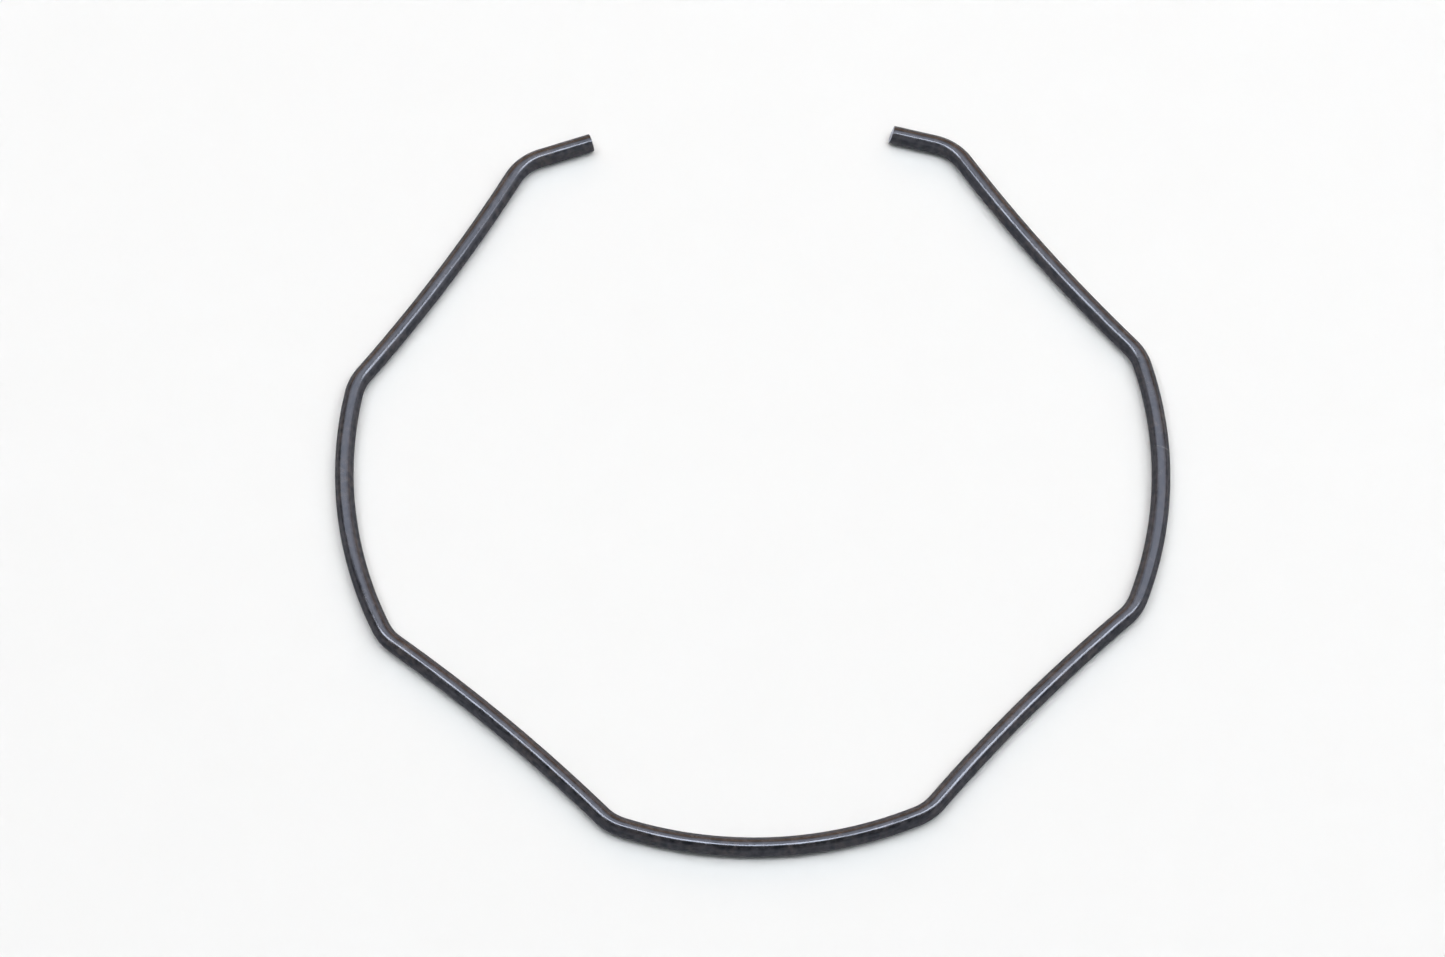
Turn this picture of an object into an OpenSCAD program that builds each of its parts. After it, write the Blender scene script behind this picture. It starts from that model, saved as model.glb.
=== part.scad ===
// Wire retaining ring: one length of round spring wire, bent flat into an open ring with eight corners.
// Three arcs lie on the groove circle. Four legs bow inward between them and snap behind a rim.
// A straight tab on each side of the gap lets the ring be squeezed or spread.
// The origin is the centre of the groove circle, in the mid-plane of the wire. The gap faces +Y.

/* [Wire] */
// Diameter of the spring wire
wire_d = 2; // [1:0.1:3]
// Inside radius of every bend
bend_r = 4.5; // [2:0.5:8]

/* [Ring] */
// Outside diameter over the groove arcs
outer_d = 90; // [70:1:120]
// Angle of the groove circle that each leg spans with its bends
leg_span = 45.5; // [36:0.5:50]
// Angle that each leg turns through as it bows inward
leg_bow = 8.6; // [4:0.2:14]
// Angle from the -Y axis to the middle of each lower leg
lower_leg_angle = 43; // [38:0.5:48]
// Angle from the +Y axis to the middle of each upper leg
upper_leg_angle = 55; // [52:0.5:60]

/* [Tabs] */
// Slope at which the tabs rise towards the gap
tab_angle = 17; // [10:1:20]
// Straight length of the left tab
left_tab_l = 6; // [3:0.1:10]
// Straight length of the right tab
right_tab_l = 5; // [3:0.1:10]
// Slant of the left tab's sheared end, 0 for a square end
left_shear = 0; // [0:1:20]
// Slant of the right tab's sheared end, 0 for a square end
right_shear = 12; // [0:1:20]

/* [Hidden] */
$fn = 96;

// Places and angles are kept to hundredths wherever two pieces of wire have to meet face to face
function hundredth(x) = round(x * 100) / 100;

function polar(r, a) = [r * cos(a), r * sin(a)];

half_span = hundredth(leg_span / 2);
half_bow = hundredth(leg_bow / 2);

// Directions, from +X, of the legs' middles and of the tabs' outer sides on the right half of the ring
lower_leg_a = hundredth(lower_leg_angle) - 90;
upper_leg_a = 90 - hundredth(upper_leg_angle);
tab_a = 90 - hundredth(tab_angle);

// Radii of the arcs, the bends and the bows, along the centreline of the wire
groove_r = (outer_d - wire_d) / 2;
corner_r = bend_r + wire_d / 2;
bow_r = (groove_r - corner_r) * sin(half_span) / sin(half_bow) - corner_r;

// Distance from the ring's centre to the centre of a leg's bow, which lies outside the ring
bow_centre_r = (groove_r - corner_r) * cos(half_span) + (bow_r + corner_r) * cos(half_bow);

function bow_centre(middle) = polar(bow_centre_r, middle);

// Centre of the bend that touches a leg's bow in direction a
function bend_centre(middle, a) = bow_centre(middle) - polar(bow_r + corner_r, a);

// Moves in two steps, to hundredths and then by the remainder, so that end faces meet exactly
module place(point) {
    near = [for (x = point) hundredth(x)];
    translate(near) translate(point - near) children();
}

// Turns about Z in two steps, by fifteens and then by the remainder, for the same reason
module turn(a) {
    near = round(a / 15) * 15;
    rotate([0, 0, near]) rotate([0, 0, a - near]) children();
}

// Wire bent about a centre, from one direction to another
module wire_arc(centre, r, from, to) {
    place(centre)
        rotate_extrude(angle = to - from, start = from)
            place([r, 0])
                circle(d = wire_d);
}

// Straight wire along +Y from the origin, with its end sheared so that the underside is the longer
module wire_tab(l, shear) {
    overhang = wire_d / 2 * tan(shear);
    difference() {
        rotate([-90, 0, 0]) cylinder(d = wire_d, h = l + overhang);
        translate([0, l, 0])
            rotate([shear, 0, 0])
                translate([-wire_d, 0, -wire_d])
                    cube(2 * wire_d);
    }
}

// Bowed leg with a bend at each end. Its middle lies in direction middle, and its last bend runs to direction to
module leg(middle, to) {
    first_a = middle + half_bow;
    last_a = middle - half_bow;
    wire_arc(bend_centre(middle, first_a), corner_r, middle - half_span, first_a);
    wire_arc(bow_centre(middle), bow_r, last_a + 180, first_a + 180);
    wire_arc(bend_centre(middle, last_a), corner_r, last_a, to);
}

// Right half of the ring, from the end of the lower arc to the end of its tab
module half_ring(tab_l, shear) {
    tab_root = bend_centre(upper_leg_a, upper_leg_a - half_bow) + polar(corner_r, tab_a);
    leg(lower_leg_a, lower_leg_a + half_span);
    wire_arc([0, 0], groove_r, lower_leg_a + half_span, upper_leg_a - half_span);
    leg(upper_leg_a, tab_a);
    place(tab_root) turn(tab_a) wire_tab(tab_l, shear);
}

module retaining_ring() {
    lower_arc_end = lower_leg_a - half_span;
    color("#454246") {
        wire_arc([0, 0], groove_r, -180 - lower_arc_end, lower_arc_end);
        half_ring(right_tab_l, right_shear);
        mirror([1, 0, 0]) half_ring(left_tab_l, left_shear);
    }
}

retaining_ring();
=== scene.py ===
"""Looks of a wire retaining ring: one length of black spring wire, bent flat into an open ring.

The wire is swept along its bent centreline, gets a satin black oxide finish with bare cut ends, and
lies on a pale board under a strip lamp and three dimmer panels. Sizes are in metres and angles in
degrees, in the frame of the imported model: the origin is the centre of the groove circle, +Z is up and
the gap between the tabs faces +Y.
"""
import logging
import math
from dataclasses import dataclass
from enum import Enum
from typing import Any, NamedTuple

import bpy
from mathutils import Matrix, Vector


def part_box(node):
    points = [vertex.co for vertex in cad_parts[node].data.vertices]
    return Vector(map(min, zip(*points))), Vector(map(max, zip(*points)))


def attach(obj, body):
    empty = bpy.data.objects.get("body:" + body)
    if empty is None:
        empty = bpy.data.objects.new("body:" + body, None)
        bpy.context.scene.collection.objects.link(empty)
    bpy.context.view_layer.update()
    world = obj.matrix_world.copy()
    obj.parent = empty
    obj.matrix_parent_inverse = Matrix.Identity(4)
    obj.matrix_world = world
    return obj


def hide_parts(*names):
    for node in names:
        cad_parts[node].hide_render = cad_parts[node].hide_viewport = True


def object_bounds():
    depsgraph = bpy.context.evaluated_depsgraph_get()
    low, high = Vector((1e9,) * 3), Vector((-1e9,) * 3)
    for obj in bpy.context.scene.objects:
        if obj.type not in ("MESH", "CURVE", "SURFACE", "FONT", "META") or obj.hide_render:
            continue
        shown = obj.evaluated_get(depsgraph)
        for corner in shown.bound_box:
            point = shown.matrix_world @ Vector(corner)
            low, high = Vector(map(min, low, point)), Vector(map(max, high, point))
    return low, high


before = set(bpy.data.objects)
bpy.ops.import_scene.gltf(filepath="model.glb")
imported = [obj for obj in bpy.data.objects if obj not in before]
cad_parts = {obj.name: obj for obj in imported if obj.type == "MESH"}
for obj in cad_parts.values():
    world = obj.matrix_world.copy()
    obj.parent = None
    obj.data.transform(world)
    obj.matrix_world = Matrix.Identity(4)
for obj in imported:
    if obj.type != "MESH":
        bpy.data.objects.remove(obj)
CAD_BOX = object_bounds()

LOG = logging.getLogger("retaining_ring")

CAD_NODE = "retaining_ring"
BODY = "root"

QUARTER_TURN = 90.0
HALF_TURN = 180.0
ORIGIN = Vector((0.0, 0.0, 0.0))
CUT_RIM = 0.00004

Colour = tuple[float, float, float]
Point = tuple[float, float, float]
Socket = bpy.types.NodeSocket


class Side(Enum):
    """A half of the ring, as seen with the gap at the far side. Its value is the sign of X there."""

    LEFT = -1
    RIGHT = 1


class Mark(Enum):
    """Attributes that the wire carries for its sheared end and its finish."""

    SHEAR = "shear"
    PLACE = "wire_place"
    CUT = "cut_face"


class Span(NamedTuple):
    """A range of values."""

    low: float
    high: float


FADE_IN = Span(0.0, 1.0)
FADE_OUT = Span(1.0, 0.0)


def polar(radius: float, direction: float) -> Vector:
    """Point in the plane of the ring at a radius and a direction in degrees."""
    angle = math.radians(direction)
    return Vector((radius * math.cos(angle), radius * math.sin(angle), 0.0))


def heading(azimuth: float, elevation: float) -> Vector:
    """Unit vector at an azimuth from +Y towards +X and an elevation above the board, in degrees."""
    turn, level = math.radians(azimuth), math.radians(elevation)
    return Vector((math.sin(turn) * math.cos(level), math.cos(turn) * math.cos(level), math.sin(level)))


def rgba(colour: Colour) -> tuple[float, float, float, float]:
    """Opaque colour for a shader socket."""
    return (*colour, 1.0)


def face(thing: bpy.types.Object, place: Vector, target: Vector, across: Vector) -> None:
    """Places a lamp or camera so that it faces a target, and adds it to the scene.

    Args:
        thing: The lamp or camera.
        place: Where it stands.
        target: The point that it faces.
        across: About where its own X axis points.
    """
    back = (place - target).normalized()
    up = back.cross(across).normalized()
    turn = Matrix((up.cross(back), up, back)).transposed()
    thing.matrix_world = Matrix.Translation(place) @ turn.to_4x4()
    bpy.context.scene.collection.objects.link(thing)


class NodeBench:
    """Places nodes in a tree and wires them up."""

    def __init__(self, tree: bpy.types.NodeTree) -> None:
        """Starts on an empty or existing tree."""
        self.tree = tree

    def feed(self, node: bpy.types.Node, feeds: dict[str | int, Any]) -> None:
        """Fills input sockets of a node.

        Args:
            node: The node.
            feeds: Its input sockets, by name or number, with a value or the socket that feeds each.
        """
        for key, value in feeds.items():
            if isinstance(value, Socket):
                self.tree.links.new(value, node.inputs[key])
            else:
                node.inputs[key].default_value = value

    def add(self, kind: str, feeds: dict[str | int, Any] | None = None, **settings: Any) -> bpy.types.Node:
        """Adds one node.

        Args:
            kind: The node's type name.
            feeds: Input sockets, as for feed.
            settings: Properties of the node, set before its sockets are fed.

        Returns:
            The new node.
        """
        node = self.tree.nodes.new(kind)
        for name, value in settings.items():
            setattr(node, name, value)
        self.feed(node, feeds or {})
        return node

    def math(self, operation: str, *values: Any, clamp: bool = False) -> Socket:
        """Result of a Math node on numbers or sockets."""
        node = self.add("ShaderNodeMath", dict(enumerate(values)), operation=operation, use_clamp=clamp)
        return node.outputs[0]

    def vector(self, operation: str, *values: Any, output: str = "Vector") -> Socket:
        """Result of a Vector Math node on vectors or sockets."""
        node = self.add("ShaderNodeVectorMath", dict(enumerate(values)), operation=operation)
        return node.outputs[output]

    def scaled(self, vector: Any, factor: Socket) -> Socket:
        """Vector or colour times a number."""
        node = self.add("ShaderNodeVectorMath", {"Vector": vector, "Scale": factor}, operation="SCALE")
        return node.outputs["Vector"]

    def ramp(self, value: Socket, given: Span, wanted: Span) -> Socket:
        """Carries a value over from one range to another, and holds it at the ends.

        Args:
            value: The value.
            given: The range that it comes from.
            wanted: The range that it goes to.

        Returns:
            The new value.
        """
        feeds = {
            "Value": value,
            "From Min": given.low,
            "From Max": given.high,
            "To Min": wanted.low,
            "To Max": wanted.high,
        }
        return self.add("ShaderNodeMapRange", feeds).outputs["Result"]

    def noise(self, place: Socket, size: float, detail: float = 2.0) -> Socket:
        """Soft noise whose features are about size metres across."""
        feeds = {"Vector": place, "Scale": 1.0 / size, "Detail": detail}
        return self.add("ShaderNodeTexNoise", feeds).outputs["Fac"]

    def parts(self, vector: Socket) -> Any:
        """Sockets X, Y and Z of a vector."""
        return self.add("ShaderNodeSeparateXYZ", {0: vector}).outputs

    def mean(self, first: Socket, second: Socket) -> Socket:
        """Mean of two numbers."""
        return self.math("MULTIPLY", self.math("ADD", first, second), 0.5)

    def between(self, factor: Socket, first: Any, second: Any) -> Socket:
        """Number between first and second."""
        return self.math("MULTIPLY_ADD", self.math("SUBTRACT", second, first), factor, first)

    def blend(self, factor: Socket, first: Any, second: Any) -> Socket:
        """Mixes two colours.

        Args:
            factor: Share of the second colour.
            first: The first colour, or its socket.
            second: The second colour, or its socket.

        Returns:
            The mixed colour.
        """
        node = self.add("ShaderNodeMix", data_type="RGBA")
        numbers = {socket.identifier: number for number, socket in enumerate(node.inputs)}
        self.feed(node, {0: factor, numbers["A_Color"]: first, numbers["B_Color"]: second})
        return next(socket for socket in node.outputs if socket.identifier == "Result_Color")


class Pattern(NamedTuple):
    """What the parts of a finish share: the place on the straight wire, noises and the bare steel."""

    place: Socket
    grain: Socket
    draw_lines: Socket
    shear_marks: Socket
    bare: Socket


@dataclass(frozen=True)
class BlackOxide:
    """Satin black oxide on drawn spring wire, with bare steel on the cut ends and in a scratch.

    The coat is rubbed smooth along the top and bottom, where the wire slides between the walls of a
    groove, and is dull on its sides. Patterns lie in the place of the straight wire before it was bent:
    along it, outwards and up. A span named after a noise holds the values at which its effect starts
    and is complete.
    """

    oxide: Colour = (0.0120, 0.0109, 0.0117)
    patina: Colour = (0.0185, 0.0142, 0.0118)
    steel: Colour = (0.42, 0.42, 0.43)
    gloss_tint: Colour = (0.79, 0.835, 1.0)
    index: float = 1.89
    rubbed_roughness: Span = Span(0.10, 0.22)
    side_roughness: float = 0.85
    rubbed_height: Span = Span(0.0006, 0.00095)
    steel_roughness: Span = Span(0.26, 0.42)
    gloss_noise: Span = Span(0.35, 0.65)
    fine_detail: float = 3.0
    grain: float = 0.0006
    grain_noise: Span = Span(0.36, 0.68)
    speckle: Span = Span(0.0, 2.8)
    patch: float = 0.004
    patch_noise: Span = Span(0.42, 0.66)
    draw_line: float = 0.00016
    draw_length: float = 0.003
    draw_share: float = 0.6
    relief: float = 0.000009
    shear_mark: float = 0.00012
    shear_length: float = 0.0012
    shear_noise: Span = Span(0.35, 0.65)
    shear_shade: Span = Span(0.55, 1.1)
    scratch_at: float = 0.1868
    scratch_width: float = 0.00007
    scratch_slant: float = 0.35
    scratch_noise: Span = Span(0.40, 0.60)
    scratch_cover: Span = Span(0.0, 0.6)

    def material(self) -> bpy.types.Material:
        """Builds the finish.

        Returns:
            The material, with all its detail in nodes.
        """
        material = bpy.data.materials.new("black_oxide_wire")
        material.use_nodes = True
        material.diffuse_color = rgba(self.oxide)
        bench = NodeBench(material.node_tree)
        pattern = self.pattern(bench)
        feeds = {
            "Base Color": self.colour(bench, pattern),
            "Metallic": pattern.bare,
            "Roughness": self.dullness(bench, pattern),
            "Normal": self.bump(bench, pattern),
            "IOR": self.index,
            "Specular Tint": rgba(self.gloss_tint),
        }
        bench.feed(material.node_tree.nodes["Principled BSDF"], feeds)
        return material

    def pattern(self, bench: NodeBench) -> Pattern:
        """Lays out what the parts of the finish share.

        Args:
            bench: Where the nodes are added.

        Returns:
            The sockets.
        """
        place = bench.add("ShaderNodeAttribute", attribute_name=Mark.PLACE.value).outputs["Vector"]
        cut = bench.add("ShaderNodeAttribute", attribute_name=Mark.CUT.value).outputs["Fac"]
        grain = bench.noise(place, self.grain, detail=self.fine_detail)
        drawn = bench.vector("MULTIPLY", place, (self.draw_line / self.draw_length, 1.0, 1.0))
        sheared = bench.vector("MULTIPLY", place, (1.0, 1.0, self.shear_mark / self.shear_length))
        return Pattern(
            place=place,
            grain=grain,
            draw_lines=bench.noise(drawn, self.draw_line),
            shear_marks=bench.noise(sheared, self.shear_mark),
            bare=bench.math("MAXIMUM", cut, self.scratch(bench, place, grain)),
        )

    def scratch(self, bench: NodeBench, place: Socket, grain: Socket) -> Socket:
        """Draws a faint slanted scratch across the wire, broken up by the grain.

        Args:
            bench: Where the nodes are added.
            place: Place on the straight wire.
            grain: Noise of the grain.

        Returns:
            How far the scratch bares the steel.
        """
        parts = bench.parts(place)
        line = bench.math("MULTIPLY_ADD", parts["Y"], self.scratch_slant, parts["X"])
        off = bench.math("ABSOLUTE", bench.math("SUBTRACT", line, self.scratch_at))
        near = bench.ramp(off, Span(0.0, self.scratch_width), FADE_OUT)
        cover = bench.ramp(grain, self.scratch_noise, self.scratch_cover)
        return bench.math("MULTIPLY", near, cover)

    def colour(self, bench: NodeBench, pattern: Pattern) -> Socket:
        """Colours the oxide with brownish patches and a fine speckle, and the bare steel with streaks.

        Args:
            bench: Where the nodes are added.
            pattern: What the parts of the finish share.

        Returns:
            The colour.
        """
        blotches = bench.noise(pattern.place, self.patch, detail=self.fine_detail)
        patches = bench.ramp(blotches, self.patch_noise, FADE_IN)
        coat = bench.blend(patches, rgba(self.oxide), rgba(self.patina))
        speckled = bench.scaled(coat, bench.ramp(pattern.grain, self.grain_noise, self.speckle))
        shade = bench.ramp(pattern.shear_marks, self.shear_noise, self.shear_shade)
        return bench.blend(pattern.bare, speckled, bench.scaled(self.steel, shade))

    def dullness(self, bench: NodeBench, pattern: Pattern) -> Socket:
        """Makes the coat uneven where it is rubbed and dull on the sides, and the bare steel streaked.

        Args:
            bench: Where the nodes are added.
            pattern: What the parts of the finish share.

        Returns:
            The roughness.
        """
        mean = bench.mean(pattern.grain, pattern.draw_lines)
        rubbed = bench.ramp(mean, self.gloss_noise, self.rubbed_roughness)
        height = bench.math("ABSOLUTE", bench.parts(pattern.place)["Z"])
        side = bench.ramp(height, self.rubbed_height, FADE_OUT)
        coat = bench.between(side, rubbed, self.side_roughness)
        steel = bench.ramp(pattern.shear_marks, self.shear_noise, self.steel_roughness)
        return bench.between(pattern.bare, coat, steel)

    def bump(self, bench: NodeBench, pattern: Pattern) -> Socket:
        """Raises the grain and the drawing lines.

        Args:
            bench: Where the nodes are added.
            pattern: What the parts of the finish share.

        Returns:
            The normal of the uneven surface.
        """
        height = bench.math("MULTIPLY_ADD", pattern.draw_lines, self.draw_share, pattern.grain)
        feeds = {"Strength": 1.0, "Distance": self.relief, "Height": height}
        return bench.add("ShaderNodeBump", feeds).outputs["Normal"]


@dataclass(frozen=True)
class PaleBoard:
    """Matt white board, in which light spreads a little under the surface."""

    colour: Colour = (0.86, 0.866, 0.869)
    roughness: float = 0.9
    light_spread: float = 0.0007

    def material(self) -> bpy.types.Material:
        """Builds the plain matt finish.

        Returns:
            The material.
        """
        material = bpy.data.materials.new("pale_board")
        material.use_nodes = True
        shader = material.node_tree.nodes["Principled BSDF"]
        shader.subsurface_method = "BURLEY"
        feeds = {
            "Base Color": rgba(self.colour),
            "Roughness": self.roughness,
            "Specular IOR Level": 0.0,
            "Subsurface Weight": 1.0,
            "Subsurface Radius": (1.0, 1.0, 1.0),
            "Subsurface Scale": self.light_spread,
        }
        NodeBench(material.node_tree).feed(shader, feeds)
        return material


@dataclass(frozen=True)
class Arc:
    """A stretch of wire bent to one radius, which runs between two directions from its centre.

    The radius is that of the centreline.
    """

    centre: Vector
    radius: float
    start: float
    end: float
    fewest_steps: int = 2

    def at(self, direction: float) -> Vector:
        """Point of the centreline in a direction from the centre."""
        return self.centre + polar(self.radius, direction)

    def points(self, pitch: float) -> list[Vector]:
        """Even points along the centreline.

        Args:
            pitch: Longest step between points.

        Returns:
            The points from the start, without the end, which starts the next stretch.
        """
        turn = self.end - self.start
        length = math.radians(abs(turn)) * self.radius
        steps = max(self.fewest_steps, math.ceil(length / pitch))
        return [self.at(self.start + turn * i / steps) for i in range(steps)]


class GuidePoint(NamedTuple):
    """A point of the centreline, and the slope at which the section through it is sheared."""

    place: Vector
    shear: float


@dataclass(frozen=True)
class Tab:
    """Straight end of the wire: its length, the slant of its sheared end and the worn rim there."""

    length: float
    slant: float
    rim: float
    rim_steps: int = 4

    def points(self, root: Vector, course: Vector, pitch: float) -> list[GuidePoint]:
        """Centreline of the tab, with close points where the rim of the cut end is rounded.

        Args:
            root: Where the straight length starts.
            course: Unit vector from the root to the end.
            pitch: Longest step between points.

        Returns:
            The points from the root to the end.
        """
        plain = self.length - self.rim
        steps = math.ceil(plain / pitch)
        reaches = [plain * i / steps for i in range(steps)]
        quarter = [math.pi / 2 * i / self.rim_steps for i in range(self.rim_steps + 1)]
        reaches += [plain + self.rim * math.sin(angle) for angle in quarter]
        slope = math.tan(math.radians(self.slant))
        return [GuidePoint(root + course * reach, slope * reach / self.length) for reach in reaches]


class WireSweep:
    """Node tree that sweeps a round section along a centreline, and rounds and shears its ends."""

    INPUTS = {
        "Guide": "NodeSocketGeometry",
        "Wire Radius": "NodeSocketFloat",
        "Section Sides": "NodeSocketInt",
        "Cut Rim": "NodeSocketFloat",
        "Finish": "NodeSocketMaterial",
    }
    CUT_COSINE = 0.9
    UP = (0.0, 0.0, 1.0)

    def __init__(self) -> None:
        """Makes the tree with its inputs and its output, Wire."""
        self.tree = bpy.data.node_groups.new("wire_sweep", "GeometryNodeTree")
        for name, kind in self.INPUTS.items():
            self.tree.interface.new_socket(name, in_out="INPUT", socket_type=kind)
        self.tree.interface.new_socket("Wire", in_out="OUTPUT", socket_type="NodeSocketGeometry")
        self.bench = NodeBench(self.tree)
        self.given = self.bench.add("NodeGroupInput").outputs

    def build(self) -> bpy.types.NodeTree:
        """Wires up the sweep.

        Returns:
            The finished tree.
        """
        bench = self.bench
        along = bench.add("GeometryNodeSplineParameter").outputs["Length"]
        kept = self.centreline(along).outputs
        wire = self.skin(kept["Geometry"], self.rim_scale(along))

        axis = kept["Axis"]
        position = bench.add("GeometryNodeInputPosition").outputs[0]
        offset = bench.vector("SUBTRACT", position, kept["Centre"])
        rise = bench.parts(offset)["Z"]
        outward = bench.vector("CROSS_PRODUCT", axis, self.UP)
        aside = bench.vector("DOT_PRODUCT", offset, outward, output="Value")
        place = bench.add("ShaderNodeCombineXYZ", {0: kept["Along"], 1: aside, 2: rise}).outputs[0]
        normal = bench.add("GeometryNodeInputNormal").outputs[0]
        cosine = bench.math("ABSOLUTE", bench.vector("DOT_PRODUCT", normal, axis, output="Value"))
        is_cut = bench.math("GREATER_THAN", cosine, self.CUT_COSINE)
        wire = self.marked(wire, Mark.PLACE, place, data_type="FLOAT_VECTOR", domain="POINT")
        wire = self.marked(wire, Mark.CUT, is_cut, data_type="FLOAT", domain="FACE")

        sheared = bench.add("GeometryNodeInputNamedAttribute", {"Name": Mark.SHEAR.value})
        shear = sheared.outputs["Attribute"]
        slip = bench.scaled(axis, bench.math("MULTIPLY", bench.math("MULTIPLY", rise, -1.0), shear))
        wire = bench.add("GeometryNodeSetPosition", {"Geometry": wire, "Offset": slip}).outputs["Geometry"]
        is_round = bench.math("LESS_THAN", cosine, self.CUT_COSINE)
        smooth = {"Geometry": wire, "Shade Smooth": is_round}
        wire = bench.add("GeometryNodeSetShadeSmooth", smooth, domain="FACE").outputs["Geometry"]
        wire = bench.add("GeometryNodeRealizeInstances", {"Geometry": wire}).outputs["Geometry"]
        dress = {"Geometry": wire, "Material": self.given["Finish"]}
        wire = bench.add("GeometryNodeSetMaterial", dress).outputs["Geometry"]
        bench.add("NodeGroupOutput", {"Wire": wire})
        return self.tree

    def centreline(self, along: Socket) -> bpy.types.Node:
        """Turns the guide into an upright curve that keeps each point's place, axis and way along it.

        Args:
            along: Length of the curve up to a point.

        Returns:
            The node that holds the curve and what it keeps.
        """
        bench = self.bench
        chain = bench.add("GeometryNodeMeshToCurve", {"Mesh": self.given["Guide"]}).outputs["Curve"]
        upright = bench.add("GeometryNodeSetCurveNormal", {"Curve": chain}, mode="Z_UP")
        curve = {"Geometry": upright.outputs["Curve"]}
        kept = bench.add("GeometryNodeCaptureAttribute", curve, domain="POINT")
        for kind, name, source in (
            ("VECTOR", "Centre", bench.add("GeometryNodeInputPosition").outputs[0]),
            ("VECTOR", "Axis", bench.add("GeometryNodeInputTangent").outputs[0]),
            ("FLOAT", "Along", along),
        ):
            kept.capture_items.new(kind, name)
            bench.feed(kept, {name: source})
        return kept

    def rim_scale(self, along: Socket) -> Socket:
        """Scales the section by 1 up to the rims and then down along a quarter circle.

        Args:
            along: Length of the curve up to a point.

        Returns:
            The scale.
        """
        bench, rim = self.bench, self.given["Cut Rim"]
        whole = bench.add("GeometryNodeSplineLength").outputs["Length"]
        to_end = bench.math("MINIMUM", along, bench.math("SUBTRACT", whole, along))
        into_rim = bench.math("SUBTRACT", 1.0, bench.math("DIVIDE", to_end, rim), clamp=True)
        squared = bench.math("MULTIPLY", into_rim, into_rim)
        level = bench.math("SQRT", bench.math("SUBTRACT", 1.0, squared))
        lost = bench.math("MULTIPLY", bench.math("SUBTRACT", 1.0, level), rim)
        return bench.math("SUBTRACT", 1.0, bench.math("DIVIDE", lost, self.given["Wire Radius"]))

    def skin(self, curve: Socket, scale: Socket) -> Socket:
        """Sweeps the round section along a curve.

        Args:
            curve: The curve.
            scale: Scale of the section at each point.

        Returns:
            The closed mesh.
        """
        section = {"Resolution": self.given["Section Sides"], "Radius": self.given["Wire Radius"]}
        circle = self.bench.add("GeometryNodeCurvePrimitiveCircle", section).outputs["Curve"]
        sweep = {"Curve": curve, "Profile Curve": circle, "Scale": scale, "Fill Caps": True}
        return self.bench.add("GeometryNodeCurveToMesh", sweep).outputs["Mesh"]

    def marked(self, wire: Socket, mark: Mark, value: Socket, **kind: str) -> Socket:
        """Wire that carries one more attribute."""
        feeds = {"Geometry": wire, "Name": mark.value, "Value": value}
        return self.bench.add("GeometryNodeStoreNamedAttribute", feeds, **kind).outputs["Geometry"]


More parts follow.
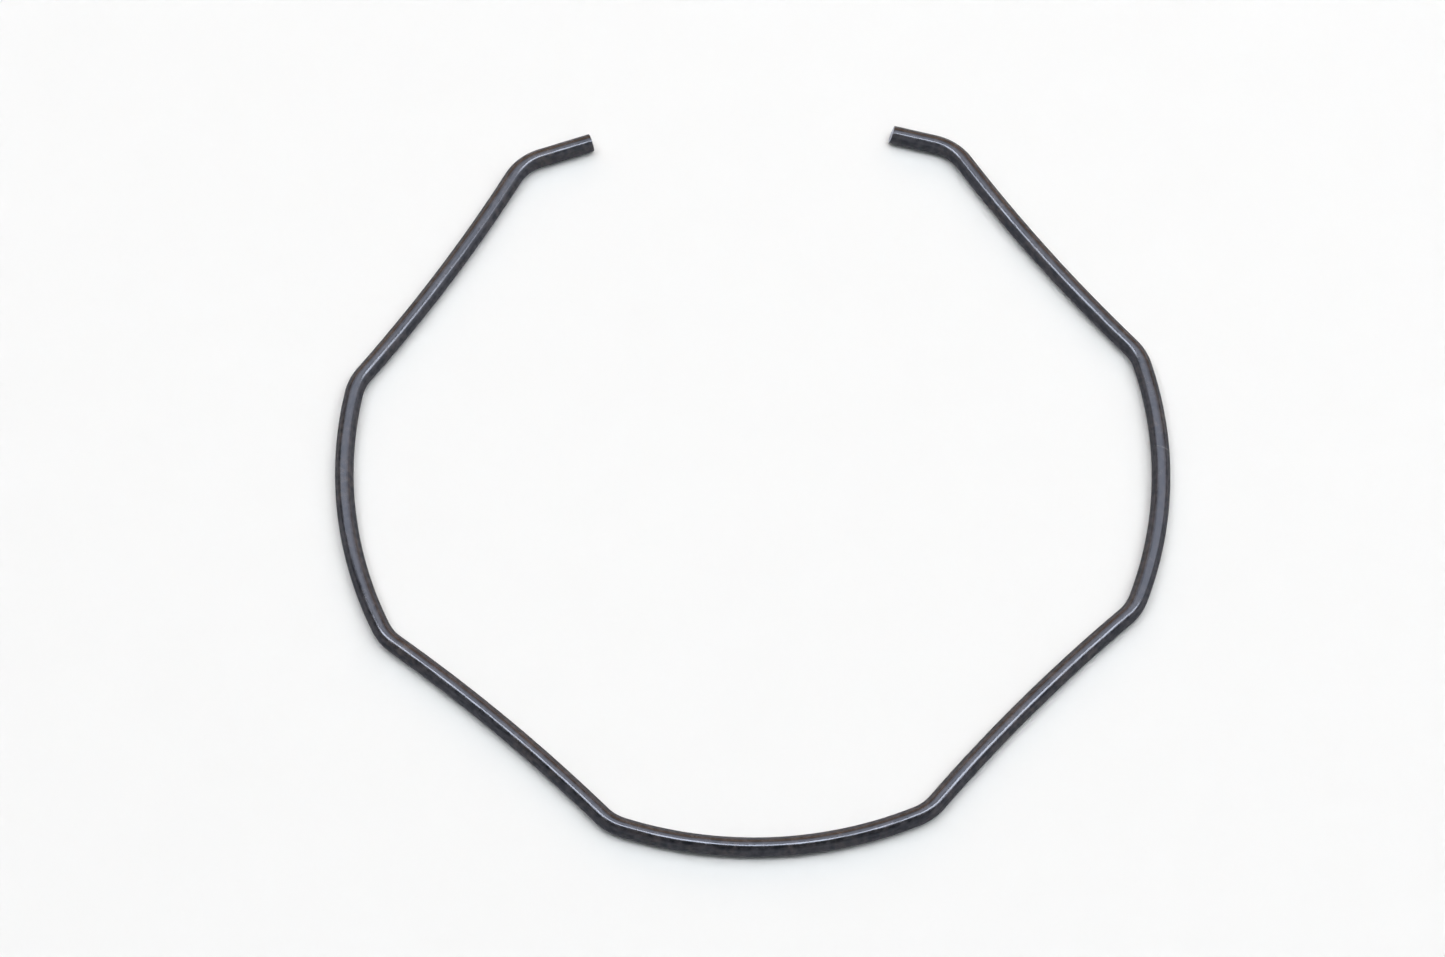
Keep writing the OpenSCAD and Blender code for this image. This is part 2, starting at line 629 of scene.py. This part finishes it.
@dataclass
class RetainingRing:
    """The bent wire. Its arcs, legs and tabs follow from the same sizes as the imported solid."""

    wire_d: float
    outer_d: float
    bend_r: float = 0.0045
    leg_span: float = 45.5
    leg_bow: float = 8.6
    lower_leg_angle: float = 43.0
    upper_leg_angle: float = 55.0
    tab_angle: float = 17.0
    left_tab: Tab = Tab(length=0.006, slant=0.0, rim=CUT_RIM)
    right_tab: Tab = Tab(length=0.005, slant=12.0, rim=CUT_RIM)
    pitch: float = 0.00025
    section_sides: int = 48

    @classmethod
    def from_frame(cls) -> "RetainingRing":
        """Takes the wire's thickness and the ring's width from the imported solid."""
        low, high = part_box(CAD_NODE)
        return cls(wire_d=high[2] - low[2], outer_d=high[0] - low[0])

    @property
    def wire_r(self) -> float:
        """Radius of the wire."""
        return self.wire_d / 2

    @property
    def groove_r(self) -> float:
        """Centreline radius of the arcs that seat in the groove."""
        return (self.outer_d - self.wire_d) / 2

    @property
    def corner_r(self) -> float:
        """Centreline radius of the bends."""
        return self.bend_r + self.wire_r

    def leg(self, middle: float, to: float) -> list[Arc]:
        """Bowed leg with a bend at each end, tangent to the groove circle.

        Args:
            middle: Direction of the middle of the leg.
            to: Direction at which the last bend ends.

        Returns:
            The first bend, the bow and the last bend.
        """
        half_span, half_bow = self.leg_span / 2, self.leg_bow / 2
        bend_circle = self.groove_r - self.corner_r
        reach = bend_circle * math.sin(math.radians(half_span)) / math.sin(math.radians(half_bow))
        to_bend = bend_circle * math.cos(math.radians(half_span))
        centre = polar(to_bend + reach * math.cos(math.radians(half_bow)), middle)
        first, last = middle + half_bow, middle - half_bow
        return [
            Arc(centre - polar(reach, first), self.corner_r, middle - half_span, first),
            Arc(centre, reach - self.corner_r, first + HALF_TURN, last + HALF_TURN),
            Arc(centre - polar(reach, last), self.corner_r, last, to),
        ]

    def half(self, side: Side) -> list[GuidePoint]:
        """Centreline of one half of the ring.

        Args:
            side: Which half.

        Returns:
            The points from the middle of the lower arc to the end of the tab.
        """
        lower = self.lower_leg_angle - QUARTER_TURN
        upper = QUARTER_TURN - self.upper_leg_angle
        tab_out = QUARTER_TURN - self.tab_angle
        half_span = self.leg_span / 2
        arcs = [
            Arc(ORIGIN, self.groove_r, -QUARTER_TURN, lower - half_span),
            *self.leg(lower, lower + half_span),
            Arc(ORIGIN, self.groove_r, lower + half_span, upper - half_span),
            *self.leg(upper, tab_out),
        ]
        bent = [GuidePoint(point, 0.0) for arc in arcs for point in arc.points(self.pitch)]
        tab = self.right_tab if side is Side.RIGHT else self.left_tab
        course = polar(1.0, tab_out + QUARTER_TURN)
        straight = tab.points(arcs[-1].at(tab_out), course, self.pitch)
        flip = Matrix.Diagonal((side.value, 1.0, 1.0))
        return [GuidePoint(flip @ place, side.value * shear) for place, shear in bent + straight]

    def guide(self) -> bpy.types.Mesh:
        """Lays the centreline from the left tab's end to the right tab's end.

        Returns:
            The centreline as a chain of edges.
        """
        points = self.half(Side.LEFT)[:0:-1] + self.half(Side.RIGHT)
        edges = [(i, i + 1) for i in range(len(points) - 1)]
        mesh = bpy.data.meshes.new("wire_centreline")
        mesh.from_pydata([p.place for p in points], edges, [])
        shear = mesh.attributes.new(Mark.SHEAR.value, "FLOAT", "POINT")
        shear.data.foreach_set("value", [p.shear for p in points])
        return mesh

    def build(self, finish: bpy.types.Material) -> bpy.types.Object:
        """Sweeps the wire and turns it into a plain mesh.

        Args:
            finish: The wire's material.

        Returns:
            The ring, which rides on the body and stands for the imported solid.
        """
        ring = bpy.data.objects.new("bent_wire", self.guide())
        bpy.context.scene.collection.objects.link(ring)
        sweep = ring.modifiers.new("wire_sweep", "NODES")
        sweep.node_group = WireSweep().build()
        values = {
            "Wire Radius": self.wire_r,
            "Section Sides": self.section_sides,
            "Cut Rim": CUT_RIM,
            "Finish": finish,
        }
        for item in sweep.node_group.interface.items_tree:
            if item.in_out == "INPUT" and item.name in values:
                sweep[item.identifier] = values[item.name]
        graph = bpy.context.evaluated_depsgraph_get()
        swept = ring.evaluated_get(graph)
        mesh = bpy.data.meshes.new_from_object(swept, preserve_all_data_layers=True, depsgraph=graph)
        ring.modifiers.clear()
        ring.data = mesh
        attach(ring, BODY)
        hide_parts(CAD_NODE)
        LOG.info("%s: %d vertices, %d faces", ring.name, len(mesh.vertices), len(mesh.polygons))
        return ring


@dataclass(frozen=True)
class Softbox:
    """Flat rectangular lamp that faces the middle of the ring.

    Its place is that of its middle, and turn is the direction of its width from +X.
    """

    name: str
    place: Point
    width: float
    depth: float
    turn: float
    radiance: float
    tint: Colour

    def build(self) -> None:
        """Hangs the lamp."""
        lamp = bpy.data.lights.new(self.name, "AREA")
        lamp.shape = "RECTANGLE"
        lamp.size, lamp.size_y = self.width, self.depth
        lamp.energy = self.radiance * math.pi * self.width * self.depth
        lamp.color = self.tint
        thing = bpy.data.objects.new(self.name, lamp)
        face(thing, Vector(self.place), ORIGIN, polar(1.0, self.turn))
        LOG.info("%s: %.2f W", self.name, lamp.energy)


@dataclass
class Studio:
    """Pale board, lamps, soft surroundings and the camera."""

    floor_z: float
    floor_size: float = 4.0
    strip: Softbox = Softbox(
        name="strip",
        place=(0.08, 0.03, 1.2),
        width=2.0,
        depth=0.236,
        turn=-7.0,
        radiance=8.45,
        tint=(0.945, 0.97, 0.975),
    )
    upper_panel: Softbox = Softbox(
        name="upper_panel",
        place=(0.24, 0.57, 1.49),
        width=4.4,
        depth=0.51,
        turn=-7.0,
        radiance=1.76,
        tint=(0.97, 1.0, 1.04),
    )
    middle_panel: Softbox = Softbox(
        name="middle_panel",
        place=(0.31, 1.06, 1.41),
        width=3.8,
        depth=0.38,
        turn=-8.0,
        radiance=1.08,
        tint=(1.05, 1.0, 0.98),
    )
    lower_panel: Softbox = Softbox(
        name="lower_panel",
        place=(0.2, 3.2, 1.64),
        width=8.8,
        depth=1.7,
        turn=-4.0,
        radiance=0.59,
        tint=(1.5, 0.9, 0.5),
    )
    surround: Colour = (0.157, 0.164, 0.171)
    photo_width: int = 1445
    focal_pixels: float = 3500.0
    camera_elevation: float = 65.85
    camera_azimuth: float = 182.3
    camera_distance: float = 0.3765
    aim: Point = (-0.003346, -0.002364, 0.0)
    nearest: float = 0.01

    def build(self) -> None:
        """Builds the whole set."""
        self.floor()
        for lamp in (self.strip, self.upper_panel, self.middle_panel, self.lower_panel):
            lamp.build()
        self.surroundings()
        self.camera()
        bpy.context.scene.view_settings.view_transform = "Standard"

    def floor(self) -> None:
        """Board under the ring."""
        half = self.floor_size / 2
        around = ((-half, -half), (half, -half), (half, half), (-half, half))
        corners = [(x, y, self.floor_z) for x, y in around]
        mesh = bpy.data.meshes.new("board")
        mesh.from_pydata(corners, [], [(0, 1, 2, 3)])
        mesh.materials.append(PaleBoard().material())
        board = bpy.data.objects.new("board", mesh)
        bpy.context.scene.collection.objects.link(board)
        LOG.info("board at %.4f m", self.floor_z)

    def surroundings(self) -> None:
        """Even grey room that fills the shadows."""
        world = bpy.data.worlds.new("room")
        world.use_nodes = True
        world.node_tree.nodes["Background"].inputs["Color"].default_value = rgba(self.surround)
        bpy.context.scene.world = world

    def camera(self) -> None:
        """Camera in front of the ring, looking down at it."""
        lens = bpy.data.cameras.new("camera")
        lens.sensor_fit = "HORIZONTAL"
        lens.lens = lens.sensor_width * self.focal_pixels / self.photo_width
        lens.clip_start = self.nearest
        view = bpy.data.objects.new("camera", lens)
        aim = Vector(self.aim)
        place = aim + heading(self.camera_azimuth, self.camera_elevation) * self.camera_distance
        face(view, place, aim, heading(self.camera_azimuth - QUARTER_TURN, 0.0))
        bpy.context.scene.camera = view


def main() -> None:
    """Builds the ring and its set."""
    logging.basicConfig(level=logging.INFO, format="%(name)s: %(message)s")
    RetainingRing.from_frame().build(BlackOxide().material())
    Studio(floor_z=CAD_BOX[0].z).build()


if __name__ == "__main__":
    main()
